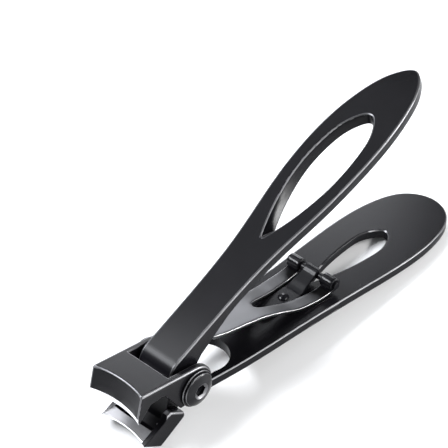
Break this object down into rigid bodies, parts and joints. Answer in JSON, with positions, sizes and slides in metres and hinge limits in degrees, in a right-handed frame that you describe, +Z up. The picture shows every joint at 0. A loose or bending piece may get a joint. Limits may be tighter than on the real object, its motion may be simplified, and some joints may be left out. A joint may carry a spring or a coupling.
{
  "type": "nail clipper",
  "caption": "Crossed-lever nail clipper with two leaf-shaped handles, concave cutting jaws, a screw pivot and an opening leaf spring, shown open.",
  "frame": {"origin": "on the surface that the open clipper rests on, under the middle of its bounding box", "axes": "+X runs from the jaws to the handle ends, +Y to the nut's side across the clipper, +Z up"},
  "size_m": [0.107, 0.0218, 0.0456],
  "materials": {
    "black_coated_steel": "satin black coating on forged steel, bright ground bevels at the cutting edges",
    "black_fastener": "gloss black",
    "spring_steel": "satin dark grey with bright sheared edges",
    "black_spring_steel": "semi-gloss black",
    "washer_steel": "satin",
    "blade_steel": "fine ground, bright"
  },
  "bodies": {
    "root": {"lower_arm": "black_coated_steel", "pivot_screw": "black_fastener", "pivot_nut": "black_fastener", "near_flange_washer": "black_fastener", "far_flange_washer": "black_fastener", "near_friction_washer": "washer_steel", "far_friction_washer": "washer_steel", "tongue_spring": "black_spring_steel", "tongue_spring_rivet": "black_fastener", "spring_pin": "black_spring_steel"},
    "lever": {"upper_lever": "black_coated_steel", "fork_spring": "spring_steel", "fork_spring_rivet": "black_fastener"}
  },
  "joints": [
    {"name": "lever_pivot", "type": "hinge", "parent": "root", "child": "lever", "pos_m": [-0.0362, 0, 0.0097], "axis": [0, 1, 0], "range_deg": [0, 25.2], "stiffness_Nm_per_rad": 0.35, "springref_deg": -20.05, "deforming": ["fork_spring"]}
  ]
}
